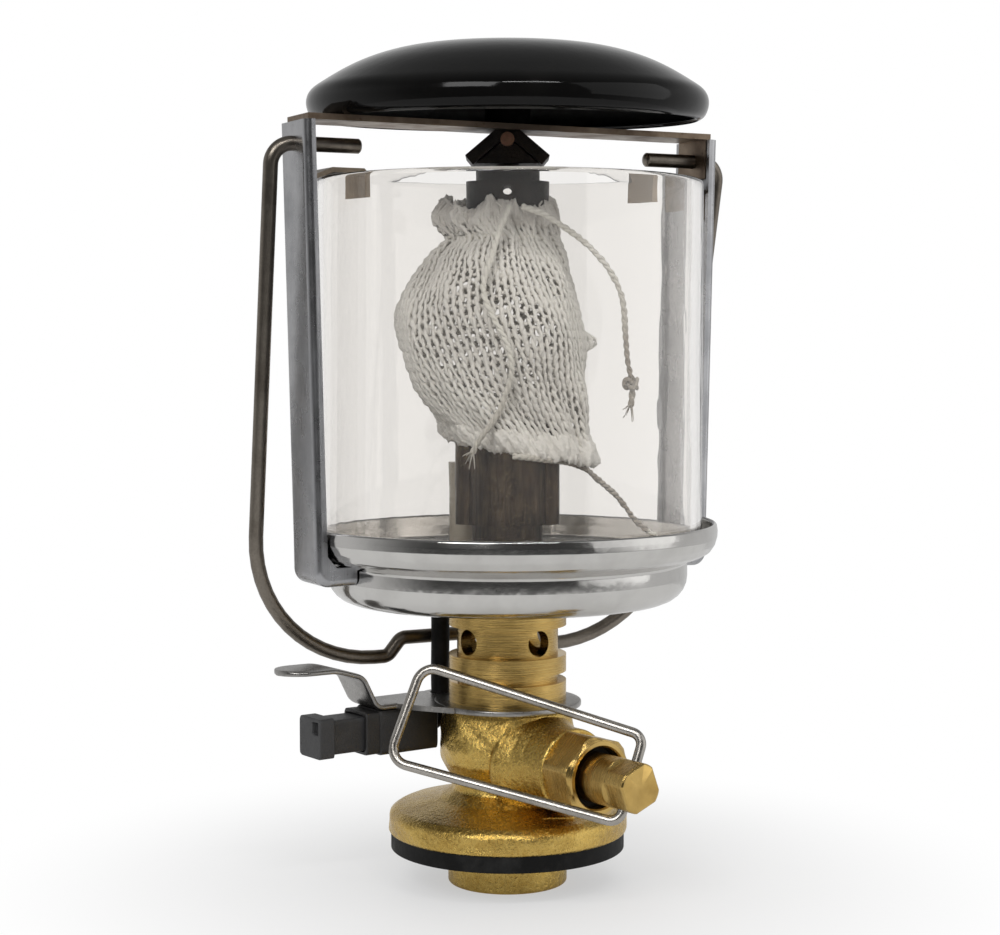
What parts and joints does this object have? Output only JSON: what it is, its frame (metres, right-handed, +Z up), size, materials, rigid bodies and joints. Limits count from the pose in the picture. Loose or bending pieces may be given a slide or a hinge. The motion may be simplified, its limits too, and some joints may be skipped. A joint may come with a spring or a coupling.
{
  "type": "butane lantern",
  "caption": "Small gas lantern that screws onto a cartridge: cast valve with a wire tap handle, push igniter, tied mantle in a glass globe, black lid and swinging wire bail.",
  "frame": {"origin": "on the lantern's axis at the mouth of the cartridge thread", "axes": "+Z up along the lantern's axis, X through the two upright channels with the igniter on the -X side, -Y on the tap's side"},
  "size_m": [0.0898, 0.0734, 0.1469],
  "materials": {
    "cast_brass": "sand cast, dull",
    "turned_brass": "turned, bright",
    "grey_rubber": "matt",
    "black_rubber": "matt",
    "bright_steel": "bright drawn wire",
    "dark_steel": "dulled wire",
    "zinc_steel": "zinc plated, worn",
    "chrome_plate": "bright plate",
    "stained_steel": "heat stained",
    "copper_rod": "dull copper colour",
    "black_enamel": "gloss enamel",
    "clear_glass": "clear",
    "white_ceramic": "unglazed",
    "black_plastic": "moulded",
    "grey_plastic": "moulded",
    "mantle_cloth": "open knit",
    "tie_cord": "twisted cotton"
  },
  "bodies": {
    "lantern": {"valve_body": "cast_brass", "seal_washer": "grey_rubber", "inlet_seal": "black_rubber", "depressor_pin": "bright_steel", "inlet_filter": "turned_brass", "gland_nut": "turned_brass", "gland_packing": "black_rubber", "igniter_bracket": "zinc_steel", "igniter_body": "black_plastic", "igniter_crystal": "white_ceramic", "igniter_hammer": "bright_steel", "hammer_spring": "bright_steel", "ignition_lead": "black_rubber", "electrode_insulator": "white_ceramic", "electrode_wire": "stained_steel", "mixing_tube": "turned_brass", "jet": "turned_brass", "burner_tube": "stained_steel", "burner_gauze": "stained_steel", "burner_sleeve": "stained_steel", "base_pan": "chrome_plate", "pan_lock_nut": "zinc_steel", "left_upright": "zinc_steel", "right_upright": "zinc_steel", "glass_globe": "clear_glass", "left_glass_clip": "zinc_steel", "right_glass_clip": "zinc_steel", "bridge_strap": "zinc_steel", "lid_post": "zinc_steel", "lid": "black_enamel", "heat_deflector": "stained_steel", "deflector_pin": "copper_rod", "mantle_holder": "stained_steel", "mantle": "mantle_cloth", "top_tie_tail_a": "tie_cord", "top_tie_tail_b": "tie_cord", "bottom_tie_tail": "tie_cord"},
    "tap": {"valve_spindle": "turned_brass"},
    "tap_handle": {"valve_handle": "bright_steel"},
    "button": {"igniter_button": "grey_plastic"},
    "carrier": {"bail": "dark_steel"}
  },
  "joints": [
    {"name": "bail_swing", "type": "hinge", "parent": "lantern", "child": "carrier", "pos_m": [0, 0, 0.12798], "axis": [1, 0, 0], "range_deg": [0, 330]},
    {"name": "valve_turn", "type": "hinge", "parent": "lantern", "child": "tap", "pos_m": [0.00521, -0.03289, 0.0226], "axis": [0.1564, -0.9877, 0], "range_deg": [-14, 20]},
    {"name": "handle_fold", "type": "hinge", "parent": "tap", "child": "tap_handle", "pos_m": [0.00521, -0.03289, 0.0226], "axis": [0.354, 0.0561, 0.9336], "range_deg": [0, 260]},
    {"name": "piezo_press", "type": "slide", "parent": "lantern", "child": "button", "axis": [0.9903, 0.1392, 0], "range_m": [0, 0.004], "stiffness_N_per_m": 500, "springref_m": -0.002}
  ]
}
